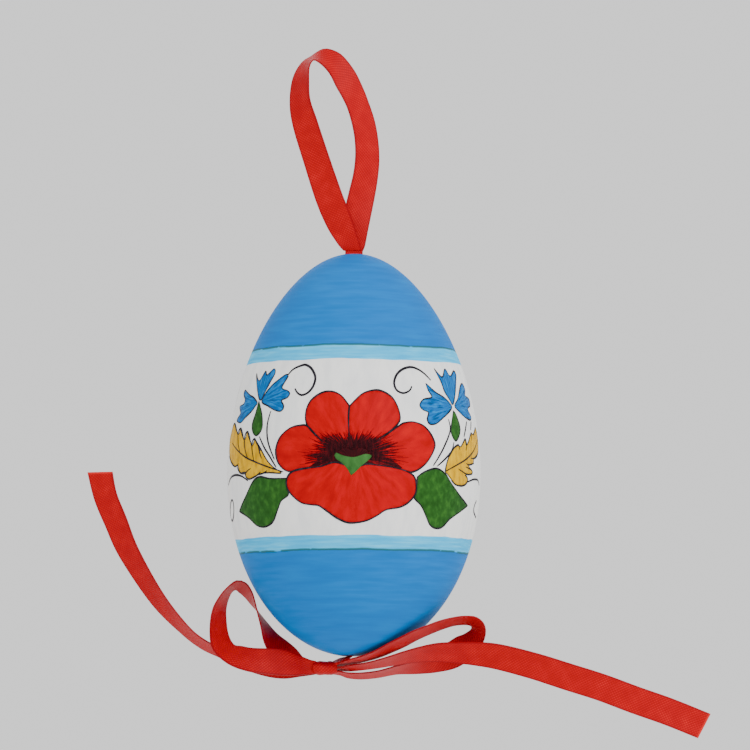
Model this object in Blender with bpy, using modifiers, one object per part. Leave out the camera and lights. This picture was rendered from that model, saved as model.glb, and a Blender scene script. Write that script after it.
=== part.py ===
"""A painted goose egg that hangs on one length of satin ribbon.

The ribbon is folded in half. The fold is the hanging loop, both runs go down through a drilled
hole at each end of the blown shell, and their free ends are tied in a bow under the shell.

Units are metres, +Z is up and the origin is the hang point, inside the top of the hanging loop.
A ribbon's route is a list of rows in millimetres: the middle of the ribbon (x, y, z), then half
of its width as an arrow (x, y, z) that points from the middle to one of its two edges.
"""

import math

import bmesh
import bpy
import numpy as np
from mathutils import Vector

MM = 0.001

# The shell
EGG_LENGTH = 0.088
EGG_WIDTH = 0.055
EGG_TAPER = 0.10  # how much slimmer the top half is than the bottom half
EGG_SLIMNESS = 0.03  # how much both ends are slimmer than an ellipse
SHELL_WALL = 0.0007
HOLE_DIAMETER = 0.005
SHELL_STEPS = 48
SHELL_RINGS = 28

# The ribbon
RIBBON_WIDTH = 0.006
RIBBON_THICKNESS = 0.00035
RIBBON_STEP = 0.0016  # the length of one facet along the ribbon
LAYER_GAP = 0.00035  # between two layers that lie on each other
HOLE_CLEARANCE = 0.00052  # between the gathered ribbon and the edge of a hole
END_GAP = 0.00035  # between the ends of two stretches of ribbon
PLY = RIBBON_THICKNESS + LAYER_GAP

# The neck, where the hanging loop meets the shell, in heights above the shell's top
SIDE_SWING_HEIGHT = 0.0036
FORE_AFT_SWING_HEIGHT = 0.0009
NECK_TOP_HEIGHT = 0.0046

# The bow's knot
KNOT_LENGTH = 0.0053
KNOT_HEIGHT = 0.0033
KNOT_DEPTH = 0.0044
KNOT_OFFSET = -0.0063  # from the shell's axis to the middle of the knot
KNOT_ROUNDING = 0.0010
LEAD_DROP = 0.00050  # from the bottom hole's rim to the lead that runs under it
LEFT_ROOT_GAP = 0.0005  # from the knot to the strands on its left
RIGHT_ROOT_GAP = 0.0008  # from the knot to the strands on its right, which lie flat
LEFT_TAIL_DEPTH = 0.0009  # how far behind the knot's middle the left tail leaves it

# The hang point, seen from the middle of the shell's top
HANG_OFFSET = -0.0065
HANG_HEIGHT = 0.0405

# How high above the shell's bottom the bow's loops pass the side of the shell
FLANK_HEIGHT = 0.0106

# Rows measured from the shell's top. The arrow points out of the loop.
LOOP_ROUTE = (
    (-1.2, -0.80, 2.2, -2.30, 0.00, -0.60),
    (-3.0, -0.80, 6.4, -2.70, 0.80, -0.85),
    (-5.3, -0.80, 11.9, -2.85, 0.30, -0.90),
    (-8.1, -0.70, 20.3, -2.70, 0.90, -0.85),
    (-10.7, -0.60, 28.6, -2.65, 1.20, -0.50),
    (-11.8, -0.50, 33.6, -2.20, 2.00, -0.10),
    (-11.6, -0.40, 38.2, -1.75, 2.35, 0.45),
    (-10.6, -0.30, 41.4, -0.85, 2.75, 0.75),
    (-9.1, -0.20, 42.9, -0.20, 2.90, 0.75),
    (-7.7, -0.10, 43.3, 0.05, 2.60, 1.50),
    (-6.1, 0.00, 42.9, 0.20, 1.90, 2.30),
    (-4.0, 0.10, 41.5, 1.10, 1.30, 2.45),
    (-2.0, 0.20, 38.6, 1.90, 1.10, 2.00),
    (-0.5, 0.30, 35.8, 2.15, 1.50, 1.40),
    (0.8, 0.40, 32.8, 2.20, 1.70, 1.05),
    (2.0, 0.50, 29.0, 2.40, 1.65, 0.65),
    (2.7, 0.60, 25.2, 2.50, 1.60, 0.30),
    (2.9, 0.70, 21.0, 2.60, 1.45, -0.05),
    (2.5, 0.75, 17.0, 2.65, 1.30, -0.40),
    (1.7, 0.80, 13.0, 2.75, 1.00, -0.75),
    (0.9, 0.80, 9.2, 2.80, 0.60, -0.85),
    (0.4, 0.75, 5.8, 2.65, 0.30, -0.80),
    (0.3, 0.80, 2.2, 2.30, 0.00, -0.60),
)

# Rows measured from the knot, then from the side of the shell, then from the knot again.
LEFT_LOOP_OUT = (
    (-5.3, -1.30, 0.5, 0.00, -0.80, -2.10),
    (-8.7, -1.80, 1.1, 0.10, -0.90, -2.80),
    (-12.4, -2.20, 1.4, -0.20, -0.90, -2.80),
    (-16.4, -2.50, 1.8, -0.70, -1.40, -2.50),
    (-19.6, -2.40, 2.8, -1.50, -1.70, -1.90),
)
LEFT_LOOP_SIDE = (
    (-9.4, -2.00, -8.6, -2.20, -1.90, -0.60),
    (-10.4, -1.50, -5.4, -1.90, -2.30, 0.10),
    (-10.4, -0.90, -1.0, -1.40, -2.60, 0.25),
    (-9.5, -0.40, 1.8, -0.80, -2.85, 0.45),
    (-8.2, 0.00, 3.9, -0.35, -2.90, 0.45),
    (-6.7, 0.30, 5.0, 0.15, -2.85, 0.85),
    (-5.3, 0.60, 4.5, 0.80, -2.70, 0.85),
    (-4.0, 0.80, 3.0, 0.80, -2.85, 0.45),
    (-2.9, 1.10, 1.0, 0.40, -2.95, 0.20),
    (-2.1, 1.50, -0.5, 0.00, -3.00, 0.00),
    (-0.6, 2.20, -3.5, -0.65, -2.85, -0.40),
)
LEFT_LOOP_BACK = (
    (-11.8, 2.30, 6.6, -1.35, -2.45, -1.00),
    (-9.6, 2.10, 3.9, -1.70, -1.70, -1.75),
    (-7.2, 1.00, 1.9, -1.10, -0.50, -2.20),
    (-4.9, 0.30, 0.5, -0.30, -0.10, -1.75),
)
LEFT_TAIL_ROUTE = (
    (-5.2, 2.00, 0.2, 0.00, 0.25, -2.00),
    (-8.7, 3.20, 0.4, 0.00, 0.60, -2.60),
    (-12.4, 4.30, 0.9, -0.10, 1.30, -2.60),
    (-16.4, 4.30, 1.7, -0.30, 2.00, -2.10),
    (-19.6, 3.60, 2.6, -0.40, 2.50, -1.45),
    (-22.9, 2.60, 3.6, -0.45, 2.80, -0.90),
    (-26.6, 1.60, 5.3, -0.50, 2.80, -0.80),
    (-30.6, 1.00, 8.5, -0.70, 2.75, -0.80),
    (-36.5, 0.60, 15.2, -1.25, 2.45, -1.10),
    (-42.6, 0.30, 25.0, -2.05, 1.95, -0.85),
    (-45.6, 0.00, 32.0, -2.35, 1.60, -0.80),
    (-47.8, -0.30, 37.4, -2.45, 1.50, -0.65),
    (-49.0, -0.50, 42.7, -2.75, 1.20, 0.00),
)
RIGHT_LOOP_OUT = (
    (5.2, -2.00, 1.3, 0.00, -1.90, 0.50),
    (8.5, -4.20, 2.0, -0.20, -2.30, 0.55),
    (11.5, -5.80, 3.0, -0.30, -2.85, 0.70),
)
RIGHT_LOOP_SIDE = (
    (-11.2, -6.80, -8.9, -0.40, -2.80, 0.85),
    (-8.4, -7.50, -7.6, -0.45, -2.80, 0.90),
    (-5.7, -7.60, -6.2, -0.45, -2.80, 0.85),
    (-2.9, -7.20, -5.0, -0.35, -2.85, 0.80),
    (-0.1, -6.40, -3.9, -0.25, -2.85, 0.80),
    (2.7, -5.40, -3.1, -0.10, -2.85, 0.75),
    (5.3, -4.30, -2.8, 0.00, -2.85, 0.80),
    (7.2, -3.10, -3.1, 0.60, -2.75, 0.80),
    (8.0, -1.60, -4.4, 1.50, -2.45, 0.35),
    (7.2, -0.30, -6.3, 2.20, -1.85, -0.60),
    (5.3, 0.90, -8.3, 2.00, -0.80, -2.00),
    (2.3, 2.10, -10.3, 1.40, 0.70, -2.50),
)
RIGHT_LOOP_BACK = (
    (23.7, 3.00, 1.3, 0.60, 2.10, -2.00),
    (19.6, 3.60, 0.3, 0.20, 2.65, -1.30),
    (15.5, 3.60, -0.3, 0.10, 2.80, -0.80),
    (11.5, 3.90, -1.2, 0.00, 2.50, -0.65),
    (7.8, 3.00, -1.6, 0.00, 2.00, -0.60),
    (5.0, 1.40, -1.5, 0.00, 1.60, -0.50),
)
RIGHT_TAIL_ROUTE = (
    (5.4, -0.50, 0.0, 0.00, -1.70, 0.55),
    (8.7, -1.30, 0.4, 0.00, -1.95, 0.65),
    (11.5, -2.30, 0.9, 0.00, -2.50, 0.80),
    (14.2, -2.90, 1.5, -0.10, -2.80, 0.95),
    (17.2, -3.20, 2.2, -0.20, -2.70, 1.20),
    (20.7, -3.30, 2.9, -0.25, -2.55, 1.50),
    (24.4, -3.30, 3.3, -0.20, -2.30, 1.90),
    (28.1, -3.10, 3.3, -0.10, -2.05, 2.15),
    (33.3, -2.70, 3.0, 0.10, -1.60, 2.50),
    (38.1, -2.30, 2.3, 0.35, -1.20, 2.70),
    (45.5, -1.60, 0.4, 0.70, -0.80, 2.75),
    (52.8, -1.00, -1.9, 0.85, -0.50, 2.80),
    (60.1, -0.50, -4.2, 0.95, -0.20, 2.80),
    (67.4, -0.10, -6.9, 1.05, 0.00, 2.80),
    (74.8, 0.10, -9.5, 1.05, 0.20, 2.80),
    (82.5, 0.20, -12.6, 1.40, 0.20, 2.65),
)

SHELL_BLUE = (0.009, 0.32, 0.69, 1.0)
RIBBON_RED = (0.61, 0.01, 0.01, 1.0)

# Places that the other pieces are set out from
SHELL_MIDDLE = Vector((-HANG_OFFSET, 0.0, -HANG_HEIGHT - EGG_LENGTH / 2))
SHELL_TOP = SHELL_MIDDLE + Vector((0.0, 0.0, EGG_LENGTH / 2))
SHELL_BOTTOM = SHELL_MIDDLE - Vector((0.0, 0.0, EGG_LENGTH / 2))


def shell_radius(height):
    """The shell's outer radius at a height above its middle."""
    t = max(-1.0, min(1.0, height / (EGG_LENGTH / 2)))
    return EGG_WIDTH / 2 * math.sqrt(1 - t * t) * (1 - EGG_TAPER * t - EGG_SLIMNESS * t * t)


def rim_height(side):
    """The height above the shell's middle where its radius is that of a hole. side is 1 for the top."""
    inner, outer = 0.5, 1.0
    for _ in range(40):
        t = (inner + outer) / 2
        wide = shell_radius(side * t * EGG_LENGTH / 2) > HOLE_DIAMETER / 2
        inner, outer = (t, outer) if wide else (inner, t)
    return side * t * EGG_LENGTH / 2


TOP_RIM = SHELL_MIDDLE.z + rim_height(1)
BOTTOM_RIM = SHELL_MIDDLE.z + rim_height(-1)
LEAD_HEIGHT = BOTTOM_RIM - LEAD_DROP
KNOT = Vector(
    (
        SHELL_MIDDLE.x + KNOT_OFFSET,
        0.0,
        LEAD_HEIGHT - RIBBON_THICKNESS / 2 - END_GAP - KNOT_HEIGHT / 2,
    )
)
FLANK_RADIUS = shell_radius(FLANK_HEIGHT - EGG_LENGTH / 2)
LEFT_FLANK = SHELL_BOTTOM + Vector((-FLANK_RADIUS, 0.0, FLANK_HEIGHT))
RIGHT_FLANK = SHELL_BOTTOM + Vector((FLANK_RADIUS, 0.0, FLANK_HEIGHT))
LEFT_ROOT = KNOT - Vector((KNOT_LENGTH / 2 + LEFT_ROOT_GAP, 0.0, 0.0))
RIGHT_ROOT = KNOT + Vector((KNOT_LENGTH / 2 + RIGHT_ROOT_GAP, 0.0, 0.0))
GATHERED = math.sqrt((HOLE_DIAMETER / 2 - HOLE_CLEARANCE) ** 2 - (PLY / 2 + RIBBON_THICKNESS / 2) ** 2)


def rows(start, route):
    """A route's rows, measured from start, as an array of metres.

    Depths and arrows follow the ribbon's width, so layers that pass behind each other stay apart.
    """
    table = np.array(route, float).reshape(-1, 6) * MM
    table[:, (1, 3, 4, 5)] *= RIBBON_WIDTH / (6 * MM)
    table[:, :3] += start
    return table


def smooth(stations):
    """The stations again, one every RIBBON_STEP along a smooth curve through all of them."""
    at = np.concatenate([[0], np.cumsum(np.linalg.norm(np.diff(stations[:, :3], axis=0), axis=1))])
    slope = np.diff(stations, axis=0) / np.diff(at)[:, None]
    share = (np.diff(at)[:-1] / (at[2:] - at[:-2]))[:, None]
    inner = slope[:-1] * (1 - share) + slope[1:] * share
    tangent = np.vstack([slope[:1], inner, slope[-1:]])
    places = np.linspace(0, at[-1], math.ceil(at[-1] / RIBBON_STEP) + 1)
    k = np.clip(np.searchsorted(at, places, side="right") - 1, 0, len(at) - 2)
    span = (at[k + 1] - at[k])[:, None]
    u = (places - at[k])[:, None] / span
    return (
        (1 + 2 * u) * (1 - u) ** 2 * stations[k]
        + u * (1 - u) ** 2 * span * tangent[k]
        + u * u * (3 - 2 * u) * stations[k + 1]
        - u * u * (1 - u) * span * tangent[k + 1]
    )


def material(name, colour, roughness):
    """A plain Principled material."""
    made = bpy.data.materials.new(name)
    made.use_nodes = True
    shader = made.node_tree.nodes["Principled BSDF"]
    shader.inputs["Base Color"].default_value = colour
    shader.inputs["Roughness"].default_value = roughness
    shader.inputs["Metallic"].default_value = 0.0
    made.diffuse_color = colour
    return made


def pivot(name, place, parent, collection):
    """An empty on a joint's axis, which the pieces that turn there are parented to."""
    empty = bpy.data.objects.new(name, None)
    empty.empty_display_size = 3 * MM
    empty.location = place - (parent.matrix_world.translation if parent else Vector())
    empty.parent = parent
    collection.objects.link(empty)
    bpy.context.view_layer.update()
    return empty


def finish(name, mesh, look, parent, collection):
    """Links a mesh, made in world space, as a named object under its pivot."""
    piece = bpy.data.objects.new(name, mesh)
    piece.data.materials.append(look)
    collection.objects.link(piece)
    piece.parent = parent
    piece.matrix_parent_inverse = parent.matrix_world.inverted()
    return piece


def ribbon(name, stations, look, parent, collection):
    """A flat ribbon: a grid laid along smoothed stations, given its thickness on both sides."""
    line = smooth(stations)
    mesh = bpy.data.meshes.new(name)
    shape = bmesh.new()
    bmesh.ops.create_grid(shape, x_segments=len(line) - 1, y_segments=2, size=1.0)
    for vertex in shape.verts:
        row = line[round((vertex.co.x + 1) / 2 * (len(line) - 1))]
        vertex.co = row[:3] + vertex.co.y * row[3:]
    shape.to_mesh(mesh)
    shape.free()
    mesh.shade_smooth()
    piece = finish(name, mesh, look, parent, collection)
    wall = piece.modifiers.new("thickness", "SOLIDIFY")
    wall.thickness = RIBBON_THICKNESS
    wall.offset = 0.0
    return piece


def egg_shell(look, parent, collection):
    """The blown shell: a profile from the top hole to the bottom one, turned, with its wall inside."""
    top = math.acos(rim_height(1) / (EGG_LENGTH / 2))
    bottom = math.acos(rim_height(-1) / (EGG_LENGTH / 2))
    mesh = bpy.data.meshes.new("egg_shell")
    profile = []
    for angle in np.linspace(top, bottom, SHELL_RINGS + 1):
        height = math.cos(angle) * EGG_LENGTH / 2
        profile.append((shell_radius(height), 0.0, height))
    mesh.from_pydata(profile, [(k, k + 1) for k in range(SHELL_RINGS)], [])
    mesh.transform(parent.matrix_world)
    mesh.update()
    shell = bpy.data.objects.new("egg_shell", mesh)
    mesh.transform(parent.matrix_world.inverted())
    shell.parent = parent
    mesh.materials.append(look)
    collection.objects.link(shell)
    turn = shell.modifiers.new("turn", "SCREW")
    turn.axis = "Z"
    turn.steps = turn.render_steps = SHELL_STEPS
    turn.use_merge_vertices = True
    turn.merge_threshold = 0.00001
    turn.use_smooth_shade = True
    wall = shell.modifiers.new("wall", "SOLIDIFY")
    wall.thickness = SHELL_WALL
    wall.offset = -1.0
    wall.use_even_offset = True
    return shell


def knot(look, parent, collection):
    """The bow's knot: a rounded block of tightly wrapped ribbon."""
    mesh = bpy.data.meshes.new("bow_knot")
    shape = bmesh.new()
    bmesh.ops.create_cube(shape, size=1.0)
    for vertex in shape.verts:
        vertex.co = KNOT + vertex.co * Vector((KNOT_LENGTH, KNOT_DEPTH, KNOT_HEIGHT))
    shape.to_mesh(mesh)
    shape.free()
    piece = finish("bow_knot", mesh, look, parent, collection)
    rounding = piece.modifiers.new("rounding", "BEVEL")
    rounding.width = KNOT_ROUNDING
    rounding.segments = 3
    return piece


def run_rows(side):
    """One of the two runs inside the shell. It makes a quarter turn on its way down."""
    top = SHELL_TOP.z + FORE_AFT_SWING_HEIGHT - END_GAP
    bottom = BOTTOM_RIM + LEAD_DROP + END_GAP
    table = []
    for share in np.linspace(0, 1, 12):
        angle = math.pi / 2 * share * share * (3 - 2 * share)
        half = GATHERED + (RIBBON_WIDTH / 2 - GATHERED) * math.sin(math.pi * share) ** 2
        across = np.array((math.cos(angle), math.sin(angle), 0.0))
        layer = np.array((-math.sin(angle), math.cos(angle), 0.0)) * side * PLY / 2
        middle = np.array((SHELL_MIDDLE.x, 0.0, top + (bottom - top) * share))
        table.append([*(middle + layer), *(across * half)])
    return np.array(table)


def root(place, y, z, arrow):
    """The row where a strand of the bow leaves the knot."""
    return np.array([[place.x, y * MM, place.z + z * MM, *(np.array(arrow) * RIBBON_WIDTH / 6)]])


def build():
    """Makes every piece."""
    for old in list(bpy.data.objects):
        bpy.data.objects.remove(old, do_unlink=True)
    parts = bpy.data.collections.new("decorated_egg")
    bpy.context.scene.collection.children.link(parts)
    paint = material("painted_shell", SHELL_BLUE, 0.45)
    satin = material("red_satin", RIBBON_RED, 0.38)

    hang = pivot("hang_point", Vector(), None, parts)
    side_swing = pivot("side_swing", SHELL_TOP + Vector((0, 0, SIDE_SWING_HEIGHT)), hang, parts)
    fore_aft = SHELL_TOP + Vector((0, 0, FORE_AFT_SWING_HEIGHT))
    fore_aft_swing = pivot("fore_aft_swing", fore_aft, side_swing, parts)
    egg_spin = pivot("egg_spin", SHELL_MIDDLE, fore_aft_swing, parts)
    swivel = Vector((SHELL_MIDDLE.x, 0, BOTTOM_RIM))
    bow_swivel = pivot("bow_swivel", swivel, fore_aft_swing, parts)
    left_loop_flex = pivot("left_loop_flex", LEFT_ROOT - Vector((0, PLY / 2, 0)), bow_swivel, parts)
    left_tail_flex = pivot("left_tail_flex", LEFT_ROOT + Vector((0, LEFT_TAIL_DEPTH, 0)), left_loop_flex, parts)
    right_loop_flex = pivot("right_loop_flex", RIGHT_ROOT, bow_swivel, parts)
    right_tail_flex = pivot("right_tail_flex", RIGHT_ROOT, right_loop_flex, parts)

    egg_shell(paint, egg_spin, parts)
    ribbon("hanging_loop", rows(SHELL_TOP, LOOP_ROUTE), satin, hang, parts)

    neck_foot = SHELL_TOP.z + FORE_AFT_SWING_HEIGHT + END_GAP
    neck = [
        [SHELL_TOP.x, 0.0, height, GATHERED, 0.0, 0.0]
        for height in np.linspace(SHELL_TOP.z + NECK_TOP_HEIGHT, neck_foot, 3)
    ]
    ribbon("ribbon_neck", np.array(neck), satin, side_swing, parts)
    ribbon("ribbon_run_front", run_rows(-1), satin, fore_aft_swing, parts)
    ribbon("ribbon_run_back", run_rows(1), satin, fore_aft_swing, parts)

    half = GATHERED - LAYER_GAP / 2
    lead = [
        [SHELL_MIDDLE.x, 0.0, BOTTOM_RIM + LEAD_DROP * 0.7, 0.0, half, 0.0],
        [SHELL_MIDDLE.x - 0.3 * MM, 0.0, BOTTOM_RIM - LEAD_DROP / 4, 0.0, half, 0.0],
        [SHELL_MIDDLE.x - 1.5 * MM, 0.0, LEAD_HEIGHT, 0.0, half, 0.0],
        [KNOT.x + KNOT_ROUNDING, 0.0, LEAD_HEIGHT, 0.0, half, 0.0],
    ]
    ribbon("knot_lead", np.array(lead), satin, bow_swivel, parts)
    knot(satin, bow_swivel, parts)

    flat = (0.0, -1.00, 0.30)
    left_loop = [
        root(LEFT_ROOT, -0.9, 0.0, (0.0, 0.0, -1.45)),
        rows(KNOT, LEFT_LOOP_OUT),
        rows(LEFT_FLANK, LEFT_LOOP_SIDE),
        rows(KNOT, LEFT_LOOP_BACK),
        root(LEFT_ROOT, 0.0, 0.0, (0.0, 0.0, -1.45)),
    ]
    ribbon("bow_loop_left", np.vstack(left_loop), satin, left_loop_flex, parts)
    left_tail = [root(LEFT_ROOT, LEFT_TAIL_DEPTH / MM, 0.0, (0.0, 0.0, -1.45)), rows(KNOT, LEFT_TAIL_ROUTE)]
    ribbon("bow_tail_left", np.vstack(left_tail), satin, left_tail_flex, parts)
    right_loop = [
        root(RIGHT_ROOT, -0.3, 0.9, flat),
        rows(KNOT, RIGHT_LOOP_OUT),
        rows(RIGHT_FLANK, RIGHT_LOOP_SIDE),
        rows(KNOT, RIGHT_LOOP_BACK),
        root(RIGHT_ROOT, 0.2, -1.1, tuple(-x for x in flat)),
    ]
    ribbon("bow_loop_right", np.vstack(right_loop), satin, right_loop_flex, parts)
    right_tail = [root(RIGHT_ROOT, 0.0, -0.05, flat), rows(KNOT, RIGHT_TAIL_ROUTE)]
    ribbon("bow_tail_right", np.vstack(right_tail), satin, right_tail_flex, parts)


build()
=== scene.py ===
"""A painted goose egg that hangs on red satin ribbon: its finished look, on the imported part's frame.

Sizes in the classes are millimetres and become metres when a mesh is made. A place on the egg is
(x, z): as far right of the egg's axis, and as far above its middle, as seen from straight in front.
"""

import logging
import math
from dataclasses import dataclass, field
from enum import Enum
from typing import Callable, Sequence

import bpy
import numpy as np
from mathutils import Matrix, Vector
from mathutils.geometry import delaunay_2d_cdt


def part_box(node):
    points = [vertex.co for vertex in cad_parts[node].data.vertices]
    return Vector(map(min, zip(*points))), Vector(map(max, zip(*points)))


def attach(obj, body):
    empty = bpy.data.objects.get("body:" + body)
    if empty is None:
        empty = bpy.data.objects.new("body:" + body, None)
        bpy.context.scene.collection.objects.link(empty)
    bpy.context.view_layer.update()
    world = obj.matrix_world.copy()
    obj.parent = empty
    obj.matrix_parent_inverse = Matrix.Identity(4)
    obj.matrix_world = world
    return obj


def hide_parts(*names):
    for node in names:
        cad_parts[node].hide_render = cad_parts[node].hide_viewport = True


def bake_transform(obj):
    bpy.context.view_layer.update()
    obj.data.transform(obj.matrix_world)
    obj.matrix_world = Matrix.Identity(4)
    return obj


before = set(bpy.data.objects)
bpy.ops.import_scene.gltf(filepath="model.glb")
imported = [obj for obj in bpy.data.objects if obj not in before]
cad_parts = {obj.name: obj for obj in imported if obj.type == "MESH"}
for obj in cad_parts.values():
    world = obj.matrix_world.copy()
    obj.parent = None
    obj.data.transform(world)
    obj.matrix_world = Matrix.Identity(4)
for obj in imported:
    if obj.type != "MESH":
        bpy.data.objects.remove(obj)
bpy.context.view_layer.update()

log = logging.getLogger("painted_egg")

MM = 0.001
CREASE = math.radians(45)  # a sharper edge than this stays sharp
PAINT_IOR = 1.12  # low, because the paints are matt
THINNEST = 0.12  # the thinnest that a stroke gets, as a share of its full width
TRIANGLE = 0.87  # the height of a triangle whose sides are 1
EDGE_ROOM = 0.45  # how far a patch's inner points stay from its edge, as a share of its grain
PATCH_STEP = 0.6  # how far apart the points on a patch's edge are, in millimetres
STROKE_STEP = 0.45  # and those along a stroke
INK_LIFT = 0.012  # from a paint's surface to the ink drawn round it, in millimetres
Place = tuple[float, float]
Row = tuple[float, float, float, float, float, float]
Faces = list[tuple[int, ...]]
Socket = bpy.types.NodeSocket


# ---------------------------------------------------------------- helpers


def linear(colour: str) -> tuple[float, float, float, float]:
    """Turns an sRGB hex colour into the linear values that the shaders take.

    Args:
        colour: six hex digits.

    Returns:
        Linear red, green and blue, and an alpha of 1.
    """
    parts = [int(colour[k : k + 2], 16) / 255 for k in (0, 2, 4)]
    light = [c / 12.92 if c <= 0.04045 else ((c + 0.055) / 1.055) ** 2.4 for c in parts]
    return (light[0], light[1], light[2], 1.0)


class Graph:
    """A new material: its nodes, with a Principled shader at their end."""

    def __init__(self, name: str) -> None:
        """Starts the material.

        Args:
            name: what the finish is called.
        """
        self.material = bpy.data.materials.new(name)
        self.material.use_nodes = True
        self.tree = self.material.node_tree
        self.shader = self.tree.nodes["Principled BSDF"]

    def wire(self, node: bpy.types.Node, inputs: dict[int | str, object]) -> None:
        """Gives a node its values and its incoming links.

        Args:
            node: the node.
            inputs: for each input's name or number, a value or the output socket to link to it.
        """
        for key, value in inputs.items():
            if isinstance(value, Socket):
                self.tree.links.new(value, node.inputs[key])
            else:
                node.inputs[key].default_value = value

    def add(
        self, kind: str, inputs: dict[int | str, object] | None = None, **settings: object
    ) -> bpy.types.Node:
        """Adds a node.

        Args:
            kind: the node's type without its ShaderNode prefix.
            inputs: its values and its incoming links.
            settings: its own properties.

        Returns:
            The new node.
        """
        node = self.tree.nodes.new("ShaderNode" + kind)
        for name, value in settings.items():
            setattr(node, name, value)
        self.wire(node, inputs or {})
        return node

    def own_map(self) -> Socket:
        """The piece's own UV map."""
        return self.add("UVMap", uv_map="UVMap").outputs["UV"]

    def calc(self, operation: str, first: object, second: object = 0.0) -> Socket:
        """One sum on numbers."""
        return self.add("Math", {0: first, 1: second}, operation=operation).outputs[0]

    def scaled(self, vector: Socket, scale: Sequence[float], shift: object = (0, 0, 0)) -> Socket:
        """A vector scaled and then moved."""
        moved = {"Vector": vector, "Scale": scale, "Location": shift}
        return self.add("Mapping", moved).outputs[0]

    def noise(self, vector: Socket, scale: float, detail: float) -> Socket:
        """Noise from 0 to 1."""
        look = {"Vector": vector, "Scale": scale, "Detail": detail}
        return self.add("TexNoise", look).outputs["Fac"]

    def fade(
        self, value: Socket, start: float, end: float, low: float = 0.0, high: float = 1.0
    ) -> Socket:
        """Goes from low to high while a value goes from start to end, and stays there."""
        return self.add("MapRange", {0: value, 1: start, 2: end, 3: low, 4: high}).outputs[0]

    def blend(self, factor: object, first: object, second: object) -> Socket:
        """Mixes two colours."""
        return self.add("Mix", {0: factor, 6: first, 7: second}, data_type="RGBA").outputs[2]

    def mean(self, factor: float, first: Socket, second: Socket) -> Socket:
        """Mixes two numbers."""
        return self.add("Mix", {0: factor, 2: first, 3: second}, data_type="FLOAT").outputs[0]

    def ramp(self, factor: Socket, stops: Sequence[tuple[float, str]]) -> Socket:
        """Adds a colour ramp.

        Args:
            factor: what it reads.
            stops: the place and hex colour of each stop, in order.

        Returns:
            Its colour.
        """
        node = self.add("ValToRGB", {"Fac": factor})
        band = node.color_ramp
        while len(band.elements) < len(stops):
            band.elements.new(1.0)
        for element, (place, colour) in zip(band.elements, stops):
            element.position, element.color = place, linear(colour)
        return node.outputs["Color"]

    def relief(self, height: Socket, strength: float) -> Socket:
        """A bumpy surface, a tenth of a millimetre high."""
        bump = {"Height": height, "Strength": strength, "Distance": 0.1 * MM}
        return self.add("Bump", bump).outputs["Normal"]

    def finish(self, colour: Socket, roughness: object, **looks: object) -> bpy.types.Material:
        """Gives the shader its inputs.

        Args:
            colour: its colour.
            roughness: its roughness.
            looks: its other inputs, with _ for a space.

        Returns:
            The material.
        """
        named = {name.replace("_", " "): value for name, value in looks.items()}
        self.wire(self.shader, {"Base Color": colour, "Roughness": roughness, **named})
        return self.material


def mesh_piece(name: str, points: np.ndarray, faces: Faces, uv: np.ndarray) -> bpy.types.Object:
    """Makes a mesh piece from points in metres.

    Args:
        name: the piece's name.
        points: one row of three for each vertex.
        faces: the vertices of each face.
        uv: one row of two for each vertex.

    Returns:
        The piece, at the origin.
    """
    mesh = bpy.data.meshes.new(name)
    mesh.from_pydata([tuple(map(float, p)) for p in points], [], faces)
    layer = mesh.uv_layers.new(name="UVMap")
    for loop in mesh.loops:
        layer.data[loop.index].uv = uv[loop.vertex_index]
    mesh.shade_smooth()
    piece = bpy.data.objects.new(name, mesh)
    bpy.context.scene.collection.objects.link(piece)
    return piece


def only(piece: bpy.types.Object) -> bpy.types.Object:
    """Selects one piece alone and makes it active.

    Args:
        piece: the piece.

    Returns:
        The piece.
    """
    bpy.ops.object.select_all(action="DESELECT")
    piece.select_set(True)
    bpy.context.view_layer.objects.active = piece
    return piece


def apply_modifier(piece: bpy.types.Object, name: str, kind: str, **settings: object) -> None:
    """Adds a modifier to a piece and applies it.

    Args:
        piece: what it is added to.
        name: the modifier's name.
        kind: its type.
        settings: its properties.
    """
    modifier = only(piece).modifiers.new(name, kind)
    for key, value in settings.items():
        setattr(modifier, key, value)
    bpy.ops.object.modifier_apply(modifier=modifier.name)


def finish_piece(
    piece: bpy.types.Object, look: bpy.types.Material, body: str
) -> bpy.types.Object:
    """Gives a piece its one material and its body.

    Args:
        piece: the piece.
        look: its material.
        body: the body that it rides on.

    Returns:
        The piece.
    """
    piece.data.materials.clear()
    piece.data.materials.append(look)
    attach(piece, body)
    log.info("%s: %d faces on %s", piece.name, len(piece.data.polygons), body)
    return piece


def curve_through(points: np.ndarray, step: float, closed: bool = False) -> np.ndarray:
    """Samples a smooth curve through points. Two equal points in a row make a sharp corner.

    Args:
        points: one row for each point.
        step: about how far apart the samples are.
        closed: True where the curve ends where it starts.

    Returns:
        The samples, one row each. A closed curve's first sample isn't repeated.
    """
    count = len(points)
    found = []
    for k in range(count if closed else count - 1):
        a, b = points[k], points[(k + 1) % count]
        if np.allclose(a, b):
            continue
        before = points[k - 1] if closed or k else a
        after = points[(k + 2) % count] if closed or k + 2 < count else b
        pieces = max(1, round(float(np.linalg.norm((b - a)[:3])) / step))
        for u in np.arange(pieces) / pieces:
            found.append(
                0.5
                * (
                    2 * a
                    + (b - before) * u
                    + (2 * before - 5 * a + 4 * b - after) * u**2
                    + (3 * a - before - 3 * b + after) * u**3
                )
            )
    if not closed:
        found.append(points[-1])
    return np.array(found)


# ---------------------------------------------------------------- the shell's form


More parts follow.
